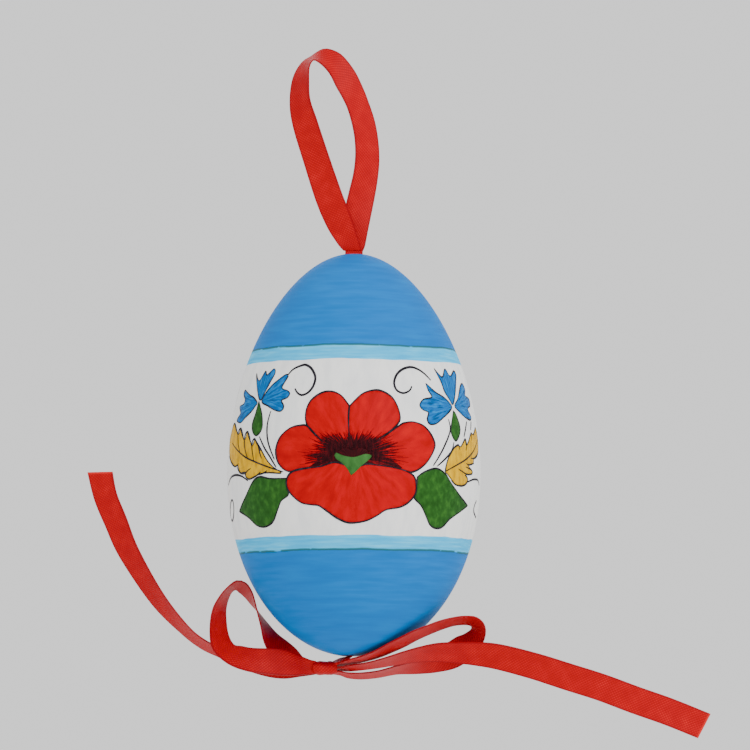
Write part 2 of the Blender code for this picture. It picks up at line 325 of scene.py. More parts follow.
@dataclass(frozen=True)
class EggForm:
    """The blown egg's form: a turned egg curve, slimmer at its top."""

    length: float = 88.0
    width: float = 55.0
    taper: float = 0.10
    slimness: float = 0.03
    wall: float = 0.7
    hole_diameter: float = 5.0
    middle: Vector = field(default_factory=lambda: sum(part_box("egg_shell"), Vector()) / 2)

    def radius(self, z: np.ndarray | float) -> np.ndarray:
        """The outer radius at heights above the middle."""
        t = np.clip(np.asarray(z, float) / (self.length / 2), -0.9999, 0.9999)
        return self.width / 2 * np.sqrt(1 - t * t) * (1 - self.taper * t - self.slimness * t * t)

    def rim(self, side: int) -> float:
        """The height of the top hole's edge (side 1) or the bottom hole's (side -1)."""
        heights = side * np.linspace(self.length / 2.2, self.length / 2, 4000)
        return float(heights[np.argmax(self.radius(heights) < self.hole_diameter / 2)])

    def unroll(self, places: Sequence[Place]) -> np.ndarray:
        """Turns places seen from the front into (distance round the egg, height).

        Args:
            places: where they are, seen from straight in front.

        Returns:
            One row for each place.
        """
        flat = np.array(places, float)
        across = np.clip(flat[:, 0] / self.radius(flat[:, 1]), -0.995, 0.995)
        return np.column_stack([np.arcsin(across) * self.width / 2, flat[:, 1]])

    def wrap(self, flat: np.ndarray, lift: float, turn: float) -> np.ndarray:
        """Puts unrolled places back on the egg.

        Args:
            flat: rows of (distance round the egg, height).
            lift: how far above the shell's surface.
            turn: how far round the egg the front is carried, in radians.

        Returns:
            Points in metres.
        """
        z = flat[:, 1]
        angle = flat[:, 0] / (self.width / 2) + turn
        slope = (self.radius(z + 0.05) - self.radius(z - 0.05)) / 0.1
        lean = np.sqrt(1 + slope * slope)
        r = self.radius(z) + lift / lean
        points = np.column_stack([r * np.sin(angle), -r * np.cos(angle), z - lift * slope / lean])
        return points * MM + np.array(self.middle)


# ---------------------------------------------------------------- finishes


@dataclass(frozen=True)
class PaintedEggshell:
    """Goose eggshell, brushed all over with craft acrylic: white in the middle, blue at both ends.

    The brush was held still while the egg turned, so the blues are streaked round the egg, and
    the white is streaked along it. Eggshell's pores show through as a fine grain.
    """

    cap: str = "0071C0"
    cap_dark: str = "006CBA"
    cap_light: str = "0079C8"
    band: str = "38BCF0"
    band_dark: str = "26AEE6"
    band_light: str = "5CCDF8"
    white: str = "F6F6F4"
    white_dark: str = "EBECEC"
    line: str = "2C5A55"
    chalk: str = "E6DFD0"
    top_line: float = 22.45
    top_band: float = 19.3
    low_band: float = -18.7
    low_line: float = -21.7
    line_width: float = 0.30
    edge: float = 0.12  # how far one paint fades into the next
    waver: float = 0.9  # how far the painter's hand wavered
    pore: float = 0.5

    def material(self, egg: EggForm) -> bpy.types.Material:
        """Builds the material from the height above the egg's middle.

        Args:
            egg: the form that it is painted on.

        Returns:
            The material.
        """
        graph = Graph("brushed acrylic on eggshell")
        place = graph.add("TexCoord").outputs["Object"]
        here = graph.scaled(place, (1 / MM,) * 3, tuple(-c / MM for c in egg.middle))

        def streaks(scale: tuple[float, float, float], detail: float) -> Socket:
            """Noise stretched into brush strokes; scale is strokes for each millimetre."""
            return graph.noise(graph.scaled(here, scale), 1.0, detail)

        height = graph.add("SeparateXYZ", {"Vector": here}).outputs["Z"]
        waver = graph.calc("MULTIPLY", streaks((0.11,) * 3, 3.0), self.waver)
        hand = graph.calc("ADD", graph.calc("ADD", height, waver), -self.waver / 2)

        round_egg = streaks((0.10, 0.10, 1.1), 4.0)
        cap = graph.ramp(round_egg, [(0.34, self.cap_dark), (0.5, self.cap), (0.70, self.cap_light)])
        short = streaks((0.13, 0.13, 1.6), 3.0)
        band = graph.ramp(short, [(0.32, self.band_dark), (0.5, self.band), (0.68, self.band_light)])
        upright = streaks((0.5, 0.5, 0.09), 3.0)
        white = graph.ramp(upright, [(0.35, self.white_dark), (0.6, self.white)])
        colour = cap
        for edge, paint in (
            (self.low_line, band),
            (self.low_band, white),
            (self.top_band, band),
            (self.top_line, cap),
        ):
            above = graph.fade(hand, edge - self.edge / 2, edge + self.edge / 2)
            colour = graph.blend(above, colour, paint)
        for edge in (self.top_line, self.low_line):
            off = graph.calc("ABSOLUTE", graph.calc("SUBTRACT", hand, edge))
            near = graph.fade(off, self.line_width / 2, self.line_width, 0.85, 0.0)
            worn = graph.fade(streaks((0.35,) * 3, 4.0), 0.68, 0.60)
            colour = graph.blend(graph.calc("MULTIPLY", near, worn), colour, linear(self.line))
        spot = graph.add("VectorMath", {0: here, 1: (1, 1, 0)}, operation="MULTIPLY").outputs[0]
        from_axis = graph.add("VectorMath", {0: spot}, operation="LENGTH").outputs["Value"]
        chip = graph.calc("MULTIPLY", streaks((0.9,) * 3, 4.0), 1.9)
        bare = graph.fade(graph.calc("SUBTRACT", from_axis, chip), 1.85, 1.65)

        grain = graph.noise(here, 1 / self.pore, 2.0)
        return graph.finish(
            graph.blend(bare, colour, linear(self.chalk)),
            graph.fade(round_egg, 0.0, 1.0, 0.46, 0.54),
            Normal=graph.relief(graph.calc("ADD", round_egg, grain), 0.07),
            IOR=PAINT_IOR,
        )


@dataclass(frozen=True)
class BrushedAcrylic:
    """Craft acrylic laid on with a small brush. Its thickness varies, so its colour is mottled."""

    name: str
    dark: str
    body: str
    light: str
    stroke: float = 1.6  # a stroke's width
    stretch: float = 3.0  # how many times longer than wide
    spread: float = 0.18  # how much of the noise the three colours share
    roughness: float = 0.42

    def material(self) -> bpy.types.Material:
        """Builds the material on the piece's own map, whose unit is a centimetre of brushwork.

        Returns:
            The material.
        """
        graph = Graph(self.name)
        size = 10 / self.stroke
        long = graph.scaled(graph.own_map(), (size, size / self.stretch, 1))
        places = (0.5 - self.spread, 0.5, 0.5 + self.spread)
        stops = list(zip(places, (self.dark, self.body, self.light)))
        return graph.finish(
            graph.ramp(graph.noise(long, 1.0, 5.0), stops),
            self.roughness,
            Normal=graph.relief(graph.noise(long, 4.0, 3.0), 0.25),
            IOR=PAINT_IOR,
        )


@dataclass(frozen=True)
class SatinRibbon:
    """Woven polyester satin. Long floats on a slant give it a soft gloss and fine slanting ribs.

    Its selvedges are tighter and so darker; its cut ends are melted smooth. Painted highlights sit on
    those ends and on the brightest floats.

    The real floats are about 0.15 mm apart, too fine to show, so they are drawn 0.5 mm apart.
    """

    body: str = "B2000C"
    rib: str = "A4000A"
    edge: str = "8E000E"
    bright: str = "C4040E"
    # painted highlight: the glints where the floats and the melted ends catch the light
    painted_glint: str = "E03028"
    rib_pitch: float = 0.5
    half_width: float = 3.0
    roughness: float = 0.40

    def material(self) -> bpy.types.Material:
        """Builds the material on the ribbon's own map: millimetres from its end, and across it.

        Returns:
            The material.
        """
        graph = Graph("woven satin")
        flat = graph.own_map()
        split = graph.add("SeparateXYZ", {"Vector": flat}).outputs
        waves = []
        for way in (1, -1):
            slant = graph.scaled(flat, (1, way, 1))
            size = {"Vector": slant, "Scale": 0.444 / self.rib_pitch, "Distortion": 0.4}
            waves.append(graph.add("TexWave", size, bands_direction="DIAGONAL").outputs["Fac"])
        weave = graph.mean(0.6, waves[0], graph.calc("MULTIPLY", *waves))
        both = graph.mean(0.55, weave, graph.noise(flat, 0.35, 4.0))
        # the last stop is a painted highlight: glints on the floats that catch the light
        stops = [(0.24, self.rib), (0.46, self.body), (0.66, self.bright), (0.84, self.painted_glint)]
        off = graph.calc("ABSOLUTE", split["Y"])
        selvedge = graph.fade(off, self.half_width - 0.45, self.half_width - 0.2, high=0.7)
        colour = graph.blend(selvedge, graph.ramp(both, stops), linear(self.edge))
        # the melted cut end, with a painted highlight along it in the glint colour
        melted_end_highlight = graph.fade(split["X"], 0.5, 0.3, high=0.6)
        return graph.finish(
            graph.blend(melted_end_highlight, colour, linear(self.painted_glint)),
            self.roughness,
            Normal=graph.relief(weave, 0.25),
            IOR=1.18,
            Sheen_Weight=0.1,
            Sheen_Roughness=0.4,
            Sheen_Tint=linear("F01810"),
        )


# ---------------------------------------------------------------- the ribbon


class Lay(Enum):
    """How a stretch of ribbon lies, in the words that cords use."""

    HANGING = "hanging"
    LOOSE = "loose"
    TAUT = "taut"


def strip(
    line: np.ndarray, across: int, width: float, cupping: float = 0.0, past: float = 1.0
) -> tuple[list[np.ndarray], list[Place], Faces]:
    """Lays a flat strip along a line of rows.

    Args:
        line: rows of the middle (x, y, z) and half of the width as an arrow (x, y, z).
        across: how many faces it has across its width.
        width: the ribbon's flat width, for its map.
        cupping: how far its edges curl.
        past: how much ribbon there is between its end and the ribbon's cut end.

    Returns:
        Its points, its map in millimetres from its end and across it, and its faces.
    """
    steps = np.linalg.norm(np.diff(line[:, :3], axis=0), axis=1)
    along = np.concatenate([[0], np.cumsum(steps)])
    normal = np.cross(np.gradient(line[:, :3], axis=0), line[:, 3:])
    normal /= np.linalg.norm(normal, axis=1)[:, None]
    points, uv, faces = [], [], []
    n = across + 1
    for row, out, far in zip(line, normal, along):
        for share in np.linspace(-1, 1, n):
            bend = cupping * (share * share - 0.4)
            points.append(row[:3] + row[3:] * share + out * bend)
            uv.append((past + along[-1] - far, share * width / 2))
    for k in range(len(line) - 1):
        for j in range(across):
            a = k * n + j
            faces.append((a, a + 1, a + 1 + n, a + n))
    return points, uv, faces


@dataclass
class Stretch:
    """One stretch of ribbon, laid along its rows.

    A row is the middle of the ribbon (x, y, z), then half of its width as an arrow to one edge.
    """

    name: str
    body: str
    rows: np.ndarray
    stands_for: tuple[str, ...]
    lay: Lay = Lay.LOOSE
    far_end: str = "object"
    width: float = 6.0
    thickness: float = 0.3
    step: float = 0.7
    across: int = 6
    cupping: float = 0.06  # how far the edges curl, as real ribbon does once it has been folded
    piece: bpy.types.Object | None = None
    path: list[tuple[float, float, float]] = field(default_factory=list)

    def build(self, look: bpy.types.Material) -> bpy.types.Object:
        """Makes the ribbon's strip with its thickness.

        Args:
            look: the satin.

        Returns:
            The piece.
        """
        line = curve_through(self.rows, self.step)
        past = 0.0 if self.far_end == "bare" else 1.0
        points, uv, faces = strip(line, self.across, self.width, self.cupping, past)
        piece = mesh_piece(self.name, np.array(points) * MM, faces, np.array(uv))
        apply_modifier(
            piece, "thickness", "SOLIDIFY", thickness=self.thickness * MM, offset=0.0
        )
        bpy.ops.object.shade_smooth_by_angle(angle=CREASE)
        piece.data.materials.append(look)
        self.piece = piece
        self.path = [tuple(p) for p in line[::2, :3] * MM]
        if len(line) % 2 == 0:
            self.path.append(tuple(line[-1, :3] * MM))
        log.info("%s: %.0f mm of ribbon", self.name, uv[0][0] - past)
        return piece

    def declare(self, way_out: Sequence[float], on_it: Sequence[bpy.types.Object] = ()) -> None:
        """Does nothing; the stretch is not stated as a cord.

        Args:
            way_out: not used.
            on_it: not used.
        """


@dataclass
class RibbonAndBow:
    """The one length of ribbon: hanging loop, neck, the two runs in the egg, and the bow."""

    egg: EggForm
    satin: bpy.types.Material
    ribbon: float = 6.0
    gathered: float = 1.91  # half the ribbon's width where it goes through a hole
    ply: float = 0.35  # half the distance between the two runs' middles
    lead_ply: float = 0.28  # one ply's thickness between the bottom hole and the knot
    knot_length: float = 5.3
    knot_height: float = 3.3
    knot_depth: float = 4.4
    flank_height: float = 10.6  # where the loops pass the egg's sides, above its bottom
    bend_top: float = 7.0  # the neck's bend, in heights above the egg's top
    bend_foot: float = 1.2

    def __post_init__(self) -> None:
        """Finds the places that the routes are measured from, in millimetres."""
        middle = np.array(self.egg.middle) / MM
        knot = sum(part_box("bow_knot"), Vector()) / 2 / MM
        self.top = middle + (0, 0, self.egg.length / 2)
        self.bottom = middle - (0, 0, self.egg.length / 2)
        self.knot = np.array((knot.x, 0.0, knot.z))
        flank = float(self.egg.radius(self.flank_height - self.egg.length / 2))
        self.left_flank = self.bottom + (-flank, 0, self.flank_height)
        self.right_flank = self.bottom + (flank, 0, self.flank_height)

    @staticmethod
    def rows(start: np.ndarray, route: Sequence[Row]) -> np.ndarray:
        """A route's rows, measured from a starting place.

        Args:
            start: the place that they are measured from.
            route: the rows.

        Returns:
            The rows where they lie.
        """
        table = np.array(route, float).reshape(-1, 6)
        table[:, :3] += start
        return table

    def hanging_loop(self) -> Stretch:
        """The loop above the egg: up from the hole, over, and down again behind itself.

        Returns:
            The stretch.
        """
        route = [
            (-0.3, -0.36, 0.7, -1.95, 0.0, -0.05), (-1.2, -0.75, 2.4, -2.2, 0.0, -0.55),
            (-3.0, -0.8, 6.4, -2.7, 0.8, -0.85), (-5.3, -0.8, 11.9, -2.85, 0.3, -0.9),
            (-8.1, -0.7, 20.3, -2.7, 0.9, -0.85), (-10.7, -0.6, 28.6, -2.65, 1.2, -0.5),
            (-11.8, -0.5, 33.6, -2.2, 2.0, -0.1), (-11.6, -0.4, 38.2, -1.75, 2.35, 0.45),
            (-10.6, -0.3, 41.4, -0.85, 2.75, 0.75), (-9.1, -0.2, 42.9, -0.2, 2.9, 0.75),
            (-7.7, -0.1, 43.3, 0.05, 2.6, 1.5), (-6.1, 0.0, 42.9, 0.2, 1.9, 2.3),
            (-4.0, 0.1, 41.5, 1.1, 1.3, 2.45), (-2.0, 0.2, 38.6, 1.9, 1.1, 2.0),
            (-0.5, 0.3, 35.8, 2.15, 1.5, 1.4), (0.8, 0.4, 32.8, 2.2, 1.7, 1.05),
            (2.0, 0.5, 29.0, 2.4, 1.65, 0.65), (2.7, 0.6, 25.2, 2.5, 1.6, 0.3),
            (2.9, 0.7, 21.0, 2.6, 1.45, -0.05), (2.5, 0.75, 17.0, 2.65, 1.3, -0.4),
            (1.7, 0.8, 13.0, 2.75, 1.0, -0.75), (0.9, 0.8, 9.2, 2.8, 0.6, -0.85),
            (0.4, 0.75, 5.8, 2.65, 0.3, -0.8), (0.2, 0.75, 2.4, 2.25, 0.0, -0.55),
            (0.0, 0.36, 0.7, 1.95, 0.0, -0.05),
        ]
        table = self.rows(self.top, route)
        nodes = ("hanging_loop", "ribbon_neck")
        return Stretch("ribbon_hanging_loop", "loop", table, nodes, Lay.HANGING)

    def run(self, side: int) -> Stretch:
        """One of the two runs inside the egg.

        Args:
            side: -1 for the front one and 1 for the one behind it.

        Returns:
            The stretch.
        """
        start = self.top[2] + 1.3
        end = self.egg.rim(-1) + self.egg.middle.z / MM + 0.85
        table = []
        for share in np.linspace(0, 1, 12):
            angle = math.pi / 2 * share * share * (3 - 2 * share)
            half = self.gathered + (self.ribbon / 2 - self.gathered) * math.sin(math.pi * share) ** 2
            x = self.top[0] - math.sin(angle) * side * self.ply
            y = math.cos(angle) * side * self.ply * min(1.0, 0.45 + 12 * share)
            z = start + (end - start) * share
            table.append((x, y, z, math.cos(angle) * half, math.sin(angle) * half, 0.0))
        name = "front" if side < 0 else "back"
        nodes = (f"ribbon_run_{name}",)
        table = np.array(table)
        return Stretch(f"ribbon_in_egg_{name}", "runs", table, nodes, Lay.TAUT, cupping=0.0)

    def left_loop(self) -> Stretch:
        """The bow's left loop: out to the left, up, over and back behind itself.

        Returns:
            The stretch.
        """
        out = [
            (-1.9, -0.8, 0.2, 0.0, 0.0, -1.35), (-3.2, -0.9, 0.2, 0.0, -0.1, -1.6),
            (-5.3, -1.3, 0.5, 0.0, -0.8, -2.1), (-8.7, -1.8, 1.1, 0.1, -0.9, -2.8),
            (-12.4, -2.2, 1.4, -0.2, -0.9, -2.8), (-16.4, -2.5, 1.8, -0.7, -1.4, -2.5),
            (-19.6, -2.4, 2.8, -1.5, -1.7, -1.9),
        ]
        side = [
            (-9.4, -2.0, -8.6, -2.2, -1.9, -0.6), (-10.4, -1.5, -5.4, -1.9, -2.3, 0.1),
            (-10.4, -0.9, -1.0, -1.4, -2.6, 0.25), (-9.5, -0.4, 1.8, -0.8, -2.85, 0.45),
            (-8.2, 0.0, 3.9, -0.35, -2.9, 0.45), (-6.7, 0.3, 5.0, 0.15, -2.85, 0.85),
            (-5.3, 0.6, 4.5, 0.8, -2.7, 0.85), (-4.0, 0.8, 3.0, 0.8, -2.85, 0.45),
            (-2.9, 1.1, 1.0, 0.4, -2.95, 0.2), (-2.1, 1.5, -0.5, 0.0, -3.0, 0.0),
            (-0.6, 2.2, -3.5, -0.65, -2.85, -0.4),
        ]
        back = [
            (-11.8, 2.3, 6.6, -1.35, -2.45, -1.0), (-9.6, 2.1, 3.9, -1.7, -1.7, -1.75),
            (-7.2, 1.0, 1.9, -1.1, -0.5, -2.2), (-4.9, 0.3, 0.5, -0.3, -0.1, -1.75),
            (-3.1, 0.0, 0.1, 0.0, 0.0, -1.45), (-1.9, 0.0, 0.1, 0.0, 0.0, -1.35),
        ]
        parts = [self.rows(self.knot, out), self.rows(self.left_flank, side)]
        table = np.vstack([*parts, self.rows(self.knot, back)])
        return Stretch("ribbon_bow_loop_left", "left_bow_loop", table, ("bow_loop_left",))

    def left_tail(self) -> Stretch:
        """The left tail: out behind the left loop, then up in a long curve to its cut end.

        Returns:
            The stretch.
        """
        route = [
            (-1.9, 0.8, 0.0, 0.0, 0.0, -1.35), (-3.2, 1.0, 0.0, 0.0, 0.1, -1.55),
            (-5.2, 2.0, 0.2, 0.0, 0.25, -2.0), (-8.7, 3.2, 0.4, 0.0, 0.6, -2.6),
            (-12.4, 4.3, 0.9, -0.1, 1.3, -2.6), (-16.4, 4.3, 1.7, -0.3, 2.0, -2.1),
            (-19.6, 3.6, 2.6, -0.4, 2.5, -1.45), (-22.9, 2.6, 3.6, -0.45, 2.8, -0.9),
            (-26.6, 1.6, 5.3, -0.5, 2.8, -0.8), (-30.6, 1.0, 8.5, -0.7, 2.75, -0.8),
            (-36.5, 0.6, 15.2, -1.25, 2.45, -1.1), (-42.6, 0.3, 25.0, -2.05, 1.95, -0.85),
            (-45.6, 0.0, 32.0, -2.35, 1.6, -0.8), (-47.8, -0.3, 37.4, -2.45, 1.5, -0.65),
            (-49.0, -0.5, 42.7, -2.75, 1.2, 0.0),
        ]
        table = self.rows(self.knot, route)
        nodes = ("bow_tail_left",)
        return Stretch("ribbon_tail_left", "left_tail", table, nodes, far_end="bare")

    def right_loop(self) -> Stretch:
        """The bow's right loop: past the front of the egg, folded over, and back underneath.

        Returns:
            The stretch.
        """
        out = [
            (1.9, -0.3, 0.7, 0.0, -1.1, 0.3), (3.4, -0.6, 0.9, 0.0, -1.3, 0.35),
            (5.2, -2.0, 1.3, 0.0, -1.9, 0.5), (8.5, -4.2, 2.0, -0.2, -2.3, 0.55),
            (11.5, -5.8, 3.0, -0.3, -2.85, 0.7),
        ]
        side = [
            (-11.2, -6.8, -8.9, -0.4, -2.8, 0.85), (-8.4, -7.5, -7.6, -0.45, -2.8, 0.9),
            (-5.7, -7.6, -6.2, -0.45, -2.8, 0.85), (-2.9, -7.2, -5.0, -0.35, -2.85, 0.8),
            (-0.1, -6.4, -3.9, -0.25, -2.85, 0.8), (2.7, -5.4, -3.1, -0.1, -2.85, 0.75),
            (5.3, -4.3, -2.8, 0.0, -2.85, 0.8), (7.2, -3.1, -3.1, 0.6, -2.75, 0.8),
            (8.0, -1.6, -4.4, 1.5, -2.45, 0.35), (7.2, -0.3, -6.3, 2.2, -1.85, -0.6),
            (5.3, 0.9, -8.3, 2.0, -0.8, -2.0), (2.3, 2.1, -10.3, 1.4, 0.7, -2.5),
        ]
        back = [
            (23.7, 3.0, 1.3, 0.6, 2.1, -2.0), (19.6, 3.6, 0.3, 0.2, 2.65, -1.3),
            (15.5, 3.6, -0.3, 0.1, 2.8, -0.8), (11.5, 3.9, -1.2, 0.0, 2.5, -0.65),
            (7.8, 3.0, -1.6, 0.0, 2.0, -0.6), (5.0, 1.4, -1.5, 0.0, 1.6, -0.5),
            (3.4, 0.3, -1.1, 0.0, 1.2, -0.35), (1.9, 0.2, -0.9, 0.0, 1.1, -0.3),
        ]
        parts = [self.rows(self.knot, out), self.rows(self.right_flank, side)]
        table = np.vstack([*parts, self.rows(self.knot, back)])
        return Stretch("ribbon_bow_loop_right", "right_bow_loop", table, ("bow_loop_right",))

    def right_tail(self) -> Stretch:
        """The right tail: in front of the right loop's fold, then down in a long low curve.

        Returns:
            The stretch.
        """
        route = [
            (1.9, -0.1, -0.1, 0.0, -1.1, 0.3), (3.4, -0.1, -0.1, 0.0, -1.2, 0.35),
            (5.4, -0.5, 0.0, 0.0, -1.7, 0.55), (8.7, -1.3, 0.4, 0.0, -1.95, 0.65),
            (11.5, -2.3, 0.9, 0.0, -2.5, 0.8), (14.2, -2.9, 1.5, -0.1, -2.8, 0.95),
            (17.2, -3.2, 2.2, -0.2, -2.7, 1.2), (20.7, -3.3, 2.9, -0.25, -2.55, 1.5),
            (24.4, -3.3, 3.3, -0.2, -2.3, 1.9), (28.1, -3.1, 3.3, -0.1, -2.05, 2.15),
            (33.3, -2.7, 3.0, 0.1, -1.6, 2.5), (38.1, -2.3, 2.3, 0.35, -1.2, 2.7),
            (45.5, -1.6, 0.4, 0.7, -0.8, 2.75), (52.8, -1.0, -1.9, 0.85, -0.5, 2.8),
            (60.1, -0.5, -4.2, 0.95, -0.2, 2.8), (67.4, -0.1, -6.9, 1.05, 0.0, 2.8),
            (74.8, 0.1, -9.5, 1.05, 0.2, 2.8), (82.5, 0.2, -12.6, 1.4, 0.2, 2.65),
        ]
        table = self.rows(self.knot, route)
        nodes = ("bow_tail_right",)
        return Stretch("ribbon_tail_right", "right_tail", table, nodes, far_end="bare")

    def lead(self) -> bpy.types.Object:
        """The two plies that come out of the bottom hole and run sideways into the knot.

        Returns:
            The piece, which holds both plies.
        """
        rim = self.egg.rim(-1) + self.egg.middle.z / MM
        x, z = self.top[0], rim - 0.5
        points, uv, faces = [], [], []
        for off in (-self.lead_ply / 2, self.lead_ply / 2):
            rows = [
                (x + off, 0.0, rim + 0.9, 0.0, 1.75, 0.0),
                (x - 0.3 + off, 0.0, rim + 0.2, 0.0, 1.75, 0.1),
                (x - 1.6, 0.0, z - 0.1 + off, 0.0, 1.8, 0.3),
                (x - 3.2, 0.0, z - 0.6 + off, 0.0, 1.7, 0.4),
                (x - 4.8, 0.0, z - 1.4 + off, 0.0, 1.5, 0.4),
            ]
            ply_points, ply_uv, ply_faces = strip(curve_through(np.array(rows), 0.4), 4, 5.0)
            faces += [tuple(v + len(points) for v in face) for face in ply_faces]
            points += ply_points
            uv += ply_uv
        piece = mesh_piece("ribbon_lead", np.array(points) * MM, faces, np.array(uv))
        apply_modifier(piece, "thickness", "SOLIDIFY", thickness=self.lead_ply * MM, offset=0.0)
        bpy.ops.object.shade_smooth_by_angle(angle=CREASE)
        finish_piece(piece, self.satin, "bow")
        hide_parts("knot_lead")
        return piece

    def wrapped_knot(self) -> bpy.types.Object:
        """The knot: a cylinder of wrapped ribbon, pinched at both ends and creased by the wrap.

        Returns:
            The piece.
        """
        bpy.ops.object.select_all(action="DESELECT")
        bpy.ops.mesh.primitive_cylinder_add(
            vertices=64,
            radius=0.5,
            depth=1.0,
            end_fill_type="NGON",
            location=(0, 0, 0),
            rotation=(0, math.pi / 2, 0),
        )
        piece = bpy.context.object
        piece.name = piece.data.name = "ribbon_knot"
        bpy.ops.object.transform_apply(location=True, rotation=True, scale=True)
        bpy.ops.object.mode_set(mode="EDIT")
        bpy.ops.mesh.select_all(action="DESELECT")
        bpy.ops.mesh.select_mode(type="EDGE")
        bpy.ops.object.mode_set(mode="OBJECT")
        for edge in piece.data.edges:
            a, b = (piece.data.vertices[v].co.x for v in edge.vertices)
            edge.select = abs(a - b) > 0.5
        bpy.ops.object.mode_set(mode="EDIT")
        bpy.ops.mesh.subdivide(number_cuts=31)
        bpy.ops.mesh.select_all(action="SELECT")
        bpy.ops.mesh.select_mode(type="FACE")
        bpy.ops.object.mode_set(mode="OBJECT")
        for vertex in piece.data.vertices:
            share = vertex.co.x * 2
            angle = math.atan2(vertex.co.y, vertex.co.z)
            pinch = 1 - 0.22 * abs(share) ** 3
            crease = 1 - 0.07 * (0.5 + 0.5 * math.cos(share * 7.0 + 0.8 * math.sin(angle)))
            crease -= 0.05 * math.exp(-((share - 0.28 + 0.1 * math.cos(angle)) ** 2) / 0.006)
            body = 1 - 0.05 * math.cos(2 * angle + share)
            size = pinch * crease * body
            end = 1 if abs(share) < 0.999 else 0.92
            vertex.co = (
                share * self.knot_length / 2,
                vertex.co.y * self.knot_depth * size * end,
                vertex.co.z * self.knot_height * size * end,
            )
        piece.data.transform(Matrix.Translation(Vector(self.knot)))
        for vertex in piece.data.vertices:
            vertex.co *= MM
        layer = piece.data.uv_layers.active or piece.data.uv_layers.new(name="UVMap")
        for loop in piece.data.loops:
            co = piece.data.vertices[loop.vertex_index].co / MM - Vector(self.knot)
            layer.data[loop.index].uv = (1.0 + abs(math.atan2(co.y, co.z)) * 2.0, co.x * 0.95)
        only(piece)
        bpy.ops.object.shade_smooth_by_angle(angle=math.radians(50))
        finish_piece(piece, self.satin, "bow")
        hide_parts("bow_knot")
        return piece

    def build(self) -> None:
        """Makes every stretch, and hides the part nodes that each one stands for."""
        knot = self.wrapped_knot()
        lead = self.lead()
        top_hole = tuple(self.top * MM)
        in_knot = tuple(self.knot * MM)
        stretches = [
            (self.hanging_loop(), top_hole, ()),
            (self.run(-1), top_hole, ()),
            (self.run(1), top_hole, ()),
            (self.left_loop(), in_knot, (knot, lead)),
            (self.left_tail(), in_knot, ()),
            (self.right_loop(), in_knot, ()),
            (self.right_tail(), in_knot, ()),
        ]
        for stretch, start, extras in stretches:
            piece = stretch.build(self.satin)
            stretch.declare(start, extras)
            if stretch.body == "loop":
                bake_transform(piece)
            else:
                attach(piece, stretch.body)
            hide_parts(*stretch.stands_for)


# ---------------------------------------------------------------- the shell and its painting


@dataclass
class Shell:
    """The blown shell, with its wall, its two drilled holes and its coat of paint."""

    egg: EggForm
    look: bpy.types.Material
    round_steps: int = 160
    rings: int = 110

    def build(self) -> bpy.types.Object:
        """Turns a sphere into the shell.

        Returns:
            The piece.
        """
        bpy.ops.object.select_all(action="DESELECT")
        bpy.ops.mesh.primitive_uv_sphere_add(
            segments=self.round_steps, ring_count=self.rings, radius=1.0, location=(0, 0, 0)
        )
        piece = bpy.context.object
        piece.name = piece.data.name = "eggshell"
        bpy.ops.object.mode_set(mode="EDIT")
        bpy.ops.mesh.select_all(action="DESELECT")
        bpy.ops.mesh.select_mode(type="VERT")
        bpy.ops.object.mode_set(mode="OBJECT")
        for vertex in piece.data.vertices:
            vertex.select = abs(vertex.co.z) > 0.99999
        bpy.ops.object.mode_set(mode="EDIT")
        bpy.ops.mesh.delete(type="VERT")
        bpy.ops.object.mode_set(mode="OBJECT")
        half = self.egg.length / 2
        first, last = (math.acos(self.egg.rim(side) / half) for side in (1, -1))
        for vertex in piece.data.vertices:
            ring = math.acos(vertex.co.z) / math.pi * self.rings
            angle = first + (last - first) * (ring - 1) / (self.rings - 2)
            z = half * math.cos(angle)
            r = float(self.egg.radius(z))
            flat = math.hypot(vertex.co.x, vertex.co.y)
            spot = Vector((vertex.co.x / flat * r, vertex.co.y / flat * r, z))
            vertex.co = self.egg.middle + spot * MM
        apply_modifier(
            piece,
            "wall",
            "SOLIDIFY",
            thickness=self.egg.wall * MM,
            offset=-1.0,
            use_even_offset=True,
        )
        piece.data.shade_smooth()
        finish_piece(piece, self.look, "egg")
        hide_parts("egg_shell")
        return piece


